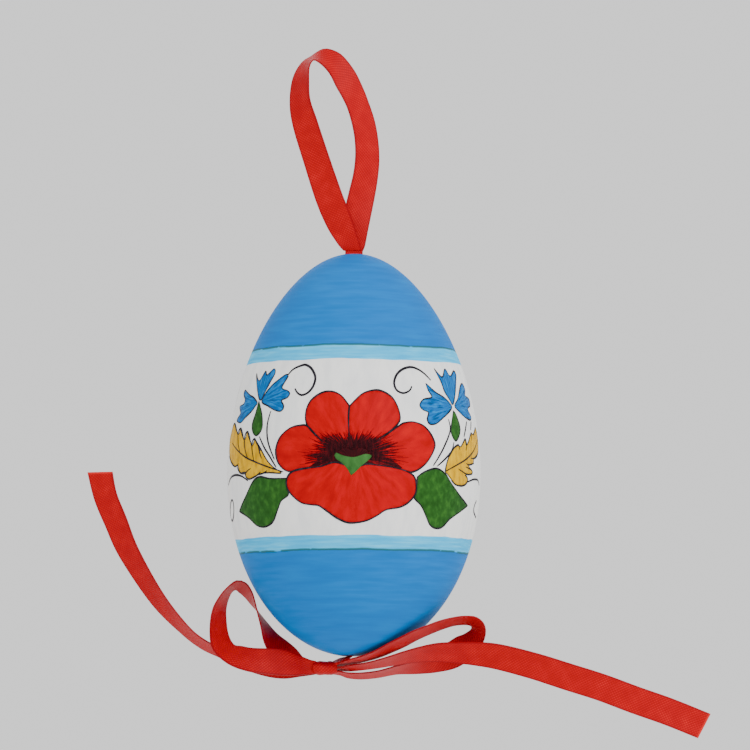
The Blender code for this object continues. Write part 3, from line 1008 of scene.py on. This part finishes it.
@dataclass
class PaintCoat:
    """Patches and strokes of one paint, kept as one piece that lies on the shell."""

    name: str
    paint: BrushedAcrylic
    egg: EggForm
    turns: tuple[float, ...] = (0.0, math.pi)  # the same picture is on the front and on the back
    grain: float = 0.8  # the size of a patch's triangles
    film: float = 0.02  # the paint's thickness
    points: list[np.ndarray] = field(default_factory=list)
    maps: list[np.ndarray] = field(default_factory=list)
    faces: Faces = field(default_factory=list)
    count: int = 0

    def lay(self, flat: np.ndarray, faces: Faces, lift: float, heart: Place | None) -> None:
        """Adds a flat shape to the coat, once for each turn.

        Args:
            flat: its points as (distance round the egg, height).
            faces: its faces.
            lift: how far above the shell its surface is.
            heart: where its brush strokes fan out from, or None where they run up and down.
        """
        if heart is None:
            chart = flat / 10
        else:
            away = flat - self.egg.unroll([heart])[0]
            angle = np.arctan2(away[:, 0], away[:, 1])
            chart = np.column_stack([angle * 1.1, np.hypot(away[:, 0], away[:, 1]) / 10])
        for turn in self.turns:
            self.points.append(self.egg.wrap(flat, lift, turn))
            self.maps.append(chart + turn)
            self.faces += [tuple(v + self.count for v in face) for face in faces]
            self.count += len(flat)

    def patch(self, outline: Sequence[Place], lift: float, heart: Place | None = None) -> None:
        """Fills an outline.

        Args:
            outline: places round it, in order.
            lift: how far above the shell its surface is.
            heart: where its brush strokes fan out from.
        """
        edge = curve_through(self.egg.unroll(outline), PATCH_STEP, closed=True)
        low, high = edge.min(0), edge.max(0)
        inside = []
        for i, z in enumerate(np.arange(low[1], high[1], self.grain * TRIANGLE)):
            for s in np.arange(low[0] + (i % 2) * self.grain / 2, high[0], self.grain):
                if np.hypot(*(edge - (s, z)).T).min() < self.grain * EDGE_ROOM:
                    continue
                a, b = edge, np.roll(edge, -1, axis=0)
                spans = (a[:, 1] > z) != (b[:, 1] > z)
                rise = np.where(spans, b[:, 1] - a[:, 1], 1)
                cross = a[:, 0] + (z - a[:, 1]) / rise * (b[:, 0] - a[:, 0])
                if (spans & (s < cross)).sum() % 2:
                    inside.append((s, z))
        spots = [Vector(p) for p in [*edge, *inside]]
        loop = [(k, (k + 1) % len(edge)) for k in range(len(edge))]
        found, _, faces, *_ = delaunay_2d_cdt(spots, loop, [], 1, 1e-5)
        self.lay(np.array([tuple(p) for p in found]), [tuple(f) for f in faces], lift, heart)

    def stroke(
        self,
        line: Sequence[Place],
        width: float,
        lift: float,
        swell: Callable[[float], float] | None = None,
        closed: bool = False,
    ) -> None:
        """Draws a line of one brush.

        Args:
            line: places along it.
            width: its width where it is widest.
            lift: how far above the shell its surface is.
            swell: the share of the width at each share of its length, or None for all of it.
            closed: True where it ends where it starts.
        """
        path = curve_through(self.egg.unroll(line), STROKE_STEP, closed)
        if closed:
            path = np.vstack([path, path[:1]])
        ahead = np.gradient(path, axis=0)
        if closed:
            ahead[0] = ahead[-1] = ahead[0] + ahead[-1]
        ahead /= np.maximum(np.hypot(*ahead.T), 1e-9)[:, None]
        side = np.column_stack([-ahead[:, 1], ahead[:, 0]])
        share = np.linspace(0, 1, len(path))
        full = [max(THINNEST, swell(float(u))) if swell else 1.0 for u in share]
        half = np.array([width / 2 * f for f in full])[:, None]
        flat = np.stack([path - side * half, path, path + side * half], axis=1).reshape(-1, 2)
        faces = []
        for k in range(len(path) - 1):
            a = 3 * k
            faces += [(a, a + 3, a + 4, a + 1), (a + 1, a + 4, a + 5, a + 2)]
        self.lay(flat, faces, lift, None)

    def build(self) -> bpy.types.Object:
        """Makes the coat's piece, with the paint's thickness below its surface.

        Returns:
            The piece.
        """
        piece = mesh_piece(self.name, np.vstack(self.points), self.faces, np.vstack(self.maps))
        apply_modifier(piece, "film", "SOLIDIFY", thickness=self.film * MM, offset=-1.0)
        finish_piece(piece, self.paint.material(), "egg")
        return piece


def taper(u: float) -> float:
    """A brush pressed down and lifted again: thin, full, thin."""
    return 0.5 + 0.5 * math.sin(math.pi * u) ** 0.7


def flick(u: float) -> float:
    """A brush laid down and flicked away: full, then thin."""
    return (1 - u) ** 0.8


class Paint(Enum):
    """The paints: their thick, usual and thin colours, a stroke's width and its stretch."""

    RED = ("A8000C", "B6000E", "C40410", 1.4, 3.0)
    WINE = ("4A0B12", "6E0E15", "8E1218", 0.5, 4.0)
    SOOT = ("1E080C", "300B11", "4A0E14", 0.5, 4.0)
    LEAF_GREEN = ("1F4A18", "27561F", "376A28", 1.3, 1.4)
    MOSS_GREEN = ("2F5E29", "3A6A32", "44753A", 2.0, 1.5)
    CORNFLOWER_BLUE = ("08467A", "0864AE", "1C88CC", 0.8, 3.5)
    WHEAT_YELLOW = ("B68A00", "D8A400", "E6B604", 1.1, 2.5)
    INK = ("15141A", "201D24", "35303A", 1.0, 2.0)


@dataclass(frozen=True)
class Layers:
    """How far above the shell each coat lies, in the order that they were painted."""

    leaf: float = 0.024
    wheat: float = 0.027
    petal: float = 0.030
    petal_step: float = 0.004  # from one upper petal to the next one over it
    cup: float = 0.034
    curl: float = 0.050
    rib: float = 0.058
    stem: float = 0.060
    ground: float = 0.062
    wine: float = 0.066
    soot: float = 0.074
    lower_petal: float = 0.095
    heart: float = 0.125


@dataclass
class FolkFlowers:
    """The painting: a red flower between leaves, with cornflowers, wheat and curls beside it."""

    egg: EggForm
    layers: Layers = Layers()
    ink_width: float = 0.42
    heart: Place = (-0.1, -3.0)
    seed: int = 7

    def __post_init__(self) -> None:
        """Mixes the paints."""
        self.rng = np.random.default_rng(self.seed)
        self.coats = {}
        for paint in Paint:
            name = paint.name.lower()
            mixed = BrushedAcrylic("acrylic " + name.replace("_", " "), *paint.value)
            self.coats[paint] = PaintCoat("paint_" + name, mixed, self.egg)
        self.ink = self.coats[Paint.INK]

    def outlined(
        self,
        paint: Paint,
        outline: Sequence[Place],
        lift: float,
        width: float = 0.0,
        heart: Place | None = None,
    ) -> None:
        """Fills an outline and draws ink round it.

        Args:
            paint: the paint that fills it.
            outline: places round it, in order.
            lift: how far above the shell its surface is.
            width: the ink's width, or 0 for the usual one.
            heart: where its brush strokes fan out from.
        """
        self.coats[paint].patch(outline, lift, heart)
        phase = float(self.rng.uniform(0, 6))

        def pressed(u: float) -> float:
            """A steady hand's pressure."""
            return 0.8 + 0.2 * math.sin(phase + 23 * u)

        self.ink.stroke(outline, width or self.ink_width, lift + INK_LIFT, pressed, closed=True)

    def red_flower(self) -> None:
        """Four upper petals, the dark feathering over them, the lower petal and the green heart."""
        left_petal = [
            (-9.7, 4.6), (-11.7, 4.9), (-13.8, 4.3), (-15.8, 2.5), (-16.7, -0.1), (-16.4, -2.5),
            (-15.3, -4.2), (-13.8, -5.0), (-12.1, -4.6), (-9.7, -4.3), (-6.8, -4.0), (-4.0, -3.0),
            (-3.6, -1.4), (-6.8, 1.4),
        ]
        right_petal = [
            (9.9, 4.9), (11.1, 5.5), (12.8, 5.7), (14.8, 5.1), (16.2, 3.8), (17.1, 2.3),
            (17.5, 0.8), (16.9, -1.0), (15.7, -3.0), (14.0, -4.5), (12.3, -5.2), (10.9, -4.9),
            (7.5, -4.2), (3.8, -2.9), (3.6, -1.3), (5.5, 1.4),
        ]
        left_top = [
            (-0.9, 9.0), (-0.9, 9.0), (-2.7, 11.3), (-4.9, 12.2), (-7.1, 11.8), (-9.2, 10.2),
            (-10.2, 8.0), (-10.2, 5.6), (-9.2, 3.9), (-6.8, 1.5), (-3.6, -1.6), (-0.8, -2.0),
            (-1.0, 3.8), (-1.0, 6.7),
        ]
        right_top = [
            (-0.9, 8.9), (-0.9, 8.9), (1.7, 11.5), (4.1, 12.4), (6.0, 12.3), (8.2, 11.0),
            (9.5, 8.8), (10.0, 6.5), (9.5, 5.2), (7.7, 3.4), (5.1, 1.5), (3.7, -1.6),
            (-0.6, -2.0), (-1.0, 3.8), (-1.1, 6.7),
        ]
        lower = [
            (-13.1, -5.1), (-14.2, -6.3), (-14.3, -8.1), (-13.3, -9.9), (-11.2, -11.7),
            (-9.0, -12.2), (-7.5, -12.4), (-5.8, -13.5), (-3.7, -15.0), (-1.5, -16.0),
            (0.3, -16.1), (2.9, -15.6), (5.1, -14.5), (7.0, -13.3), (9.9, -12.7), (11.8, -11.6),
            (13.2, -9.8), (13.4, -7.7), (12.9, -6.0), (11.1, -4.9), (8.2, -4.2), (5.1, -3.8),
            (2.9, -3.6), (0.0, -4.2), (-3.9, -3.2), (-6.8, -4.0), (-9.7, -4.4),
        ]
        for k, petal in enumerate((left_petal, right_petal, left_top, right_top)):
            lift = self.layers.petal + k * self.layers.petal_step
            self.outlined(Paint.RED, petal, lift, heart=self.heart)
        self.feathering()
        self.outlined(Paint.RED, lower, self.layers.lower_petal, heart=(0.0, 0.0))
        green = [
            (-4.1, -1.7), (-3.7, -1.1), (-2.4, -1.7), (0.1, -2.1), (2.6, -1.4), (3.9, -1.8),
            (3.1, -2.8), (1.7, -4.0), (0.2, -5.5), (-0.5, -6.0), (-1.2, -4.8), (-2.5, -3.3),
            (-3.7, -2.5),
        ]
        self.coats[Paint.MOSS_GREEN].patch(green, self.layers.heart)

    def feathering(self) -> None:
        """Dry strokes that fan out from the heart over the four upper petals."""
        hub_x, hub_z = self.heart[0], self.heart[1] + 1.4
        ground = [
            (-9.6, -4.6), (-8.6, -3.5), (-6.2, -1.9), (-3.9, -0.5), (-1.4, 0.3), (1.4, 0.3),
            (4.0, -0.5), (6.6, -1.8), (9.0, -3.2), (10.2, -4.6), (5.0, -5.0), (-5.0, -5.0),
        ]
        self.coats[Paint.SOOT].patch(ground, self.layers.ground, heart=self.heart)
        for paint, count, lift, share, width in (
            (Paint.WINE, 170, self.layers.wine, 1.0, 0.36),
            (Paint.SOOT, 280, self.layers.soot, 0.84, 0.40),
        ):
            for angle in np.linspace(math.radians(-17), math.radians(197), count):
                angle = float(angle + self.rng.normal(0, 0.03))
                level = abs(math.cos(angle))
                start = 1.0 + 2.4 * level * level
                reach = share * (4.2 + 3.9 * level**4) * float(self.rng.uniform(0.4, 1.08))
                bend = float(self.rng.normal(0, 0.06))
                line = []
                for far in (start, start + reach / 2, start + reach):
                    turn = angle + bend * (far - start) / reach
                    line.append((hub_x + far * math.cos(turn), hub_z + far * math.sin(turn)))
                full = width * float(self.rng.uniform(0.6, 1.1))
                high = lift + float(self.rng.uniform(0, 0.006))
                self.coats[paint].stroke(line, full, high, flick)

    def leaves(self) -> None:
        """The two broad leaves under the flower's sides."""
        left = [
            (-14.4, -6.4), (-14.4, -6.4), (-17.9, -6.3), (-20.1, -5.8), (-21.3, -6.3),
            (-22.1, -7.4), (-23.3, -9.8), (-24.7, -12.9), (-24.7, -12.9), (-22.8, -14.3),
            (-21.1, -16.0), (-19.8, -16.6), (-18.4, -16.4), (-17.2, -15.4), (-16.3, -13.1),
            (-15.5, -11.2), (-14.0, -10.0), (-14.2, -8.4),
        ]
        right = [
            (13.7, -6.1), (13.7, -6.1), (15.2, -5.0), (17.2, -4.2), (18.4, -4.3), (19.8, -5.3),
            (21.1, -7.3), (23.0, -9.8), (24.6, -11.7), (24.6, -11.7), (23.0, -13.1),
            (20.8, -14.8), (19.1, -16.6), (17.7, -17.0), (16.4, -16.3), (15.5, -14.4),
            (14.5, -12.3), (13.0, -10.6), (13.4, -8.7),
        ]
        for outline in (left, right):
            self.outlined(Paint.LEAF_GREEN, outline, self.layers.leaf, 0.38)

    def cornflowers(self) -> None:
        """Two blue cornflowers, each with three frayed petals, a green cup and thin stems."""
        left = [
            [
                (-20.3, 11.0), (-21.0, 16.9), (-21.0, 16.9), (-20.4, 15.2), (-19.0, 17.2),
                (-18.7, 16.3), (-17.2, 17.6), (-16.9, 16.7), (-17.9, 14.8), (-19.2, 12.4),
            ],
            [
                (-19.8, 10.7), (-17.9, 13.6), (-15.5, 15.6), (-14.4, 16.2), (-14.1, 15.7),
                (-15.4, 13.3), (-14.2, 12.6), (-13.7, 11.9), (-14.3, 11.0), (-15.5, 10.5),
                (-15.0, 9.2), (-15.5, 8.2), (-16.7, 8.3), (-18.4, 9.4),
            ],
            [
                (-20.8, 10.4), (-21.6, 11.6), (-22.4, 12.2), (-23.5, 13.5), (-23.8, 12.7),
                (-23.5, 11.4), (-23.8, 10.4), (-24.7, 9.9), (-24.5, 8.4), (-25.3, 7.0),
                (-24.5, 6.3), (-23.5, 7.2), (-22.1, 8.5), (-21.1, 9.8),
            ],
        ]
        right = [
            [
                (21.4, 10.0), (20.8, 10.8), (19.6, 12.7), (18.9, 14.6), (17.3, 17.7),
                (17.3, 17.7), (18.5, 16.3), (19.2, 16.0), (19.7, 17.8), (20.8, 16.3),
                (21.6, 17.6), (22.1, 16.9), (22.1, 14.9), (21.9, 12.4),
            ],
            [
                (21.1, 9.7), (19.6, 11.3), (17.7, 12.4), (15.5, 14.3), (15.5, 14.3),
                (16.0, 12.8), (16.8, 11.3), (15.0, 10.7), (14.2, 9.4), (14.9, 8.4), (16.1, 7.9),
                (15.8, 6.5), (16.3, 5.4), (17.7, 5.5), (19.4, 7.0), (20.8, 8.6),
            ],
            [
                (21.8, 9.8), (22.5, 11.5), (23.0, 14.1), (23.5, 15.0), (24.1, 13.8),
                (24.1, 12.4), (25.0, 11.7), (25.2, 10.3), (24.7, 9.4), (25.4, 7.8), (25.2, 7.0),
                (24.0, 7.5), (22.5, 8.8),
            ],
        ]
        for flower, hub in ((left, (-20.4, 10.6)), (right, (21.5, 9.8))):
            for petal in flower:
                self.outlined(Paint.CORNFLOWER_BLUE, petal, self.layers.petal, 0.34, heart=hub)
        left_cup = [
            (-20.4, 10.7), (-20.4, 10.7), (-21.2, 7.9), (-21.9, 5.5), (-21.7, 3.8), (-20.9, 3.1),
            (-20.0, 4.0), (-19.6, 5.4), (-19.8, 7.9),
        ]
        right_cup = [
            (21.5, 8.6), (21.5, 8.6), (21.1, 5.9), (21.0, 3.7), (22.0, 2.0), (22.9, 3.7),
            (22.9, 5.4), (22.0, 8.0),
        ]
        for cup in (left_cup, right_cup):
            self.outlined(Paint.LEAF_GREEN, cup, self.layers.cup, 0.30)
        for stem in (
            [(-17.8, 8.3), (-18.5, 5.7), (-18.6, 3.2), (-18.2, 0.9), (-17.0, -2.3)],
            [(-20.3, 2.9), (-19.2, 0.4), (-18.0, -1.6), (-16.6, -4.0)],
            [(20.4, 6.7), (20.8, 4.4), (19.6, 0.9), (18.1, -2.0), (17.1, -3.6)],
            [(21.6, 1.7), (21.1, -0.2), (19.6, -2.1), (17.9, -3.7)],
            [(24.4, 6.6), (24.1, 4.6), (23.8, 3.1)],
            [(25.4, 6.8), (25.3, 4.8)],
        ):
            self.ink.stroke(stem, 0.42, self.layers.stem, taper)

    def wheat_ears(self) -> None:
        """The two yellow ears beside the leaves, with their ribs and grains."""
        left = [
            (-15.5, -5.2), (-17.5, -3.7), (-18.9, -1.9), (-20.1, 0.4), (-21.3, 2.5), (-21.3, 2.5),
            (-21.9, 1.1), (-23.0, 4.2), (-23.0, 4.2), (-23.6, 2.4), (-24.5, 5.1), (-24.5, 5.1),
            (-25.0, 3.8), (-25.9, 6.4), (-26.4, 5.1), (-26.9, 3.0), (-27.0, 0.3), (-26.7, -1.5),
            (-25.8, -3.1), (-25.1, -3.0), (-24.5, -4.6), (-23.4, -4.6), (-23.2, -5.8),
            (-22.4, -6.1), (-20.9, -5.5), (-19.4, -5.1), (-17.7, -5.1),
        ]
        right = [
            (19.7, -4.7), (20.2, -2.4), (21.1, -0.2), (22.5, 1.1), (23.1, 0.9), (24.1, 2.7),
            (24.1, 2.7), (24.4, 1.3), (25.4, 4.1), (25.8, 3.9), (26.4, 5.6), (26.4, 5.6),
            (26.8, 4.2), (27.0, 2.0), (26.9, 0.0), (26.0, -1.4), (25.9, -2.4), (24.8, -3.0),
            (25.6, -4.1), (25.4, -4.9), (24.2, -5.0), (24.6, -5.9), (24.4, -6.8), (23.5, -7.5),
            (22.0, -7.4), (21.1, -6.4), (20.1, -5.2),
        ]
        for outline in (left, right):
            self.outlined(Paint.WHEAT_YELLOW, outline, self.layers.wheat, 0.32)
        strokes = [
            [(-15.1, -5.0), (-18.4, -3.8), (-21.1, -2.6), (-23.3, -1.4), (-25.0, 0.2), (-26.3, 2.1)],
            [(-20.0, -0.2), (-21.0, 1.8), (-21.3, 2.5), (-21.8, 2.0), (-21.9, 0.4), (-21.5, -2.3)],
            [(-22.0, 1.0), (-22.6, 3.6), (-23.0, 4.2), (-23.5, 3.2), (-23.5, 0.8), (-22.9, -1.6)],
            [(-23.7, 2.4), (-24.1, 4.4), (-24.5, 5.1), (-25.0, 4.2), (-25.0, 2.0), (-24.6, -0.2)],
            [(-25.1, 3.9), (-25.6, 5.9), (-25.9, 6.4), (-26.3, 5.4)],
            [(-20.6, 1.2), (-20.2, -0.6), (-19.8, -1.9)],
            [(-27.0, -0.6), (-26.5, -2.2), (-25.8, -3.1), (-25.2, -3.0), (-24.9, -2.6)],
            [(-25.2, -3.3), (-24.6, -4.6), (-23.6, -4.9), (-22.8, -4.3), (-22.2, -3.9)],
            [(-23.5, -4.8), (-23.1, -5.8), (-22.4, -6.2), (-21.0, -5.6), (-20.0, -4.8)],
            [(-20.6, -5.4), (-19.4, -5.1), (-18.6, -4.6)],
            [(19.7, -4.7), (22.0, -3.3), (24.4, -1.6), (25.9, 0.3), (26.8, 3.0)],
            [(20.6, -1.4), (21.6, 0.5), (22.6, 1.3), (22.9, 0.2)],
            [(23.1, 0.8), (23.7, 2.0), (24.1, 2.7), (24.4, 1.4), (24.2, 0.2)],
            [(24.8, 2.2), (25.2, 3.6), (25.4, 4.2), (25.5, 2.6)],
            [(25.9, 3.8), (26.2, 4.9), (26.4, 5.6), (26.6, 4.4)],
            [(26.9, -0.2), (26.3, -1.2), (25.4, -1.4)],
            [(26.0, -2.4), (24.9, -2.9), (24.3, -2.6)],
            [(24.2, -3.4), (25.5, -4.0), (25.6, -4.7), (24.5, -5.0), (23.3, -4.4), (22.6, -4.0)],
            [(24.0, -5.2), (24.6, -5.9), (24.4, -6.9), (23.4, -7.6), (21.9, -7.4), (21.0, -6.5)],
        ]
        for line in strokes:
            self.ink.stroke(line, 0.36, self.layers.rib, taper)

    def curls(self) -> None:
        """The tendrils that fill the gaps."""
        left_hook = [
            (-14.1, 16.1), (-12.9, 17.3), (-11.2, 18.0), (-10.2, 18.1), (-9.0, 17.2), (-8.2, 15.3),
            (-8.7, 13.3), (-9.9, 11.9), (-11.2, 11.5), (-12.1, 12.1), (-12.6, 13.0),
        ]
        right_hook = [
            (16.6, 15.0), (15.2, 16.4), (13.8, 17.3), (12.3, 17.7), (10.6, 17.2), (9.3, 16.0),
            (8.7, 14.2), (9.2, 12.6), (10.6, 11.9), (12.0, 12.5), (12.5, 13.5),
        ]
        for line, width in (
            (left_hook, 0.58),
            (right_hook, 0.56),
            ([(-22.8, -6.5), (-24.2, -5.4), (-25.7, -5.0), (-26.7, -5.5), (-27.2, -6.9)], 0.50),
            ([(24.4, -6.7), (25.9, -5.9), (26.9, -5.9), (27.2, -6.9)], 0.46),
            ([(26.6, -10.3), (26.1, -11.6), (26.0, -12.9), (26.5, -14.0)], 0.46),
        ):
            self.ink.stroke(line, width, self.layers.curl, taper)
        oval = [
            (-26.4 + 0.42 * math.cos(t), -12.4 + 2.2 * math.sin(t))
            for t in np.linspace(0, 2 * math.pi, 13)[:-1]
        ]
        self.ink.stroke(oval, 0.42, self.layers.curl, closed=True)

    def build(self) -> None:
        """Paints everything, then makes one piece of each paint."""
        self.leaves()
        self.wheat_ears()
        self.cornflowers()
        self.red_flower()
        self.curls()
        for coat in self.coats.values():
            coat.build()


# ---------------------------------------------------------------- the studio


@dataclass(frozen=True)
class Studio:
    """Camera, floor and lights: a pale sweep under soft light, a little stronger from the right."""

    egg: EggForm
    elevation: float = -4.0
    distance: float = 1500.0
    shows: float = 163.5  # how much of the object's plane the picture spans
    aim_right: float = 4.6
    aim_up: float = 17.4
    floor_drop: float = 150.0

    def camera(self) -> None:
        """Makes the camera, level with the egg and far away, as a long lens is."""
        tilt = math.radians(self.elevation)
        up = Vector((0, math.sin(tilt), math.cos(tilt)))
        back = Vector((0, -math.cos(tilt), math.sin(tilt)))
        aim = self.egg.middle + (Vector((self.aim_right, 0, 0)) + up * self.aim_up) * MM
        bpy.ops.object.camera_add(location=aim + back * self.distance * MM)
        camera = bpy.context.object
        camera.rotation_mode = "QUATERNION"
        camera.rotation_quaternion = (-back).to_track_quat("-Z", "Y")
        camera.data.lens = camera.data.sensor_width * self.distance / self.shows
        camera.data.clip_start, camera.data.clip_end = 0.05, 50.0
        bpy.context.scene.camera = camera

    def floor(self) -> None:
        """Makes the pale floor, well below the bow because the egg hangs."""
        low = self.egg.middle.z - self.floor_drop * MM
        bpy.ops.object.select_all(action="DESELECT")
        bpy.ops.mesh.primitive_plane_add(size=12.0, location=(0, 0, low))
        floor = bpy.context.object
        floor.name = "studio_floor"
        graph = Graph("pale studio paper")
        tooth = graph.noise(graph.add("TexCoord").outputs["Object"], 900.0, 2.0)
        shade = graph.ramp(tooth, [(0.3, "F1F1F0"), (0.7, "F6F6F5")])
        floor.data.materials.append(graph.finish(shade, 0.9))

    def lights(self) -> None:
        """Makes a broad key light, a fill and a pale world."""
        for name, place, size, power in (
            ("key", (0.6, -0.9, 0.6), 0.8, 9.5),
            ("fill", (-0.9, -0.8, 0.10), 1.0, 1.0),
            ("rim", (-0.1, 0.9, 0.7), 0.8, 0.8),
        ):
            spot = self.egg.middle + Vector(place)
            bpy.ops.object.light_add(type="AREA", location=spot)
            light = bpy.context.object
            light.name = name
            light.data.size, light.data.energy = size, power
            light.rotation_mode = "QUATERNION"
            light.rotation_quaternion = (self.egg.middle - spot).to_track_quat("-Z", "Y")
        world = bpy.data.worlds.new("pale studio")
        world.use_nodes = True
        sky = world.node_tree.nodes["Background"].inputs
        sky["Color"].default_value, sky["Strength"].default_value = linear("FFFFFF"), 1.1
        bpy.context.scene.world = world

    def build(self) -> None:
        """Sets up the whole studio."""
        self.camera()
        self.floor()
        self.lights()


def main() -> None:
    """Builds the studio, the ribbon, the shell and its painting, in that order."""
    logging.basicConfig(level=logging.INFO, format="%(name)s: %(message)s")
    egg = EggForm()
    Studio(egg).build()
    RibbonAndBow(egg, SatinRibbon().material()).build()
    Shell(egg, PaintedEggshell().material(egg)).build()
    FolkFlowers(egg).build()


if __name__ == "__main__":
    main()
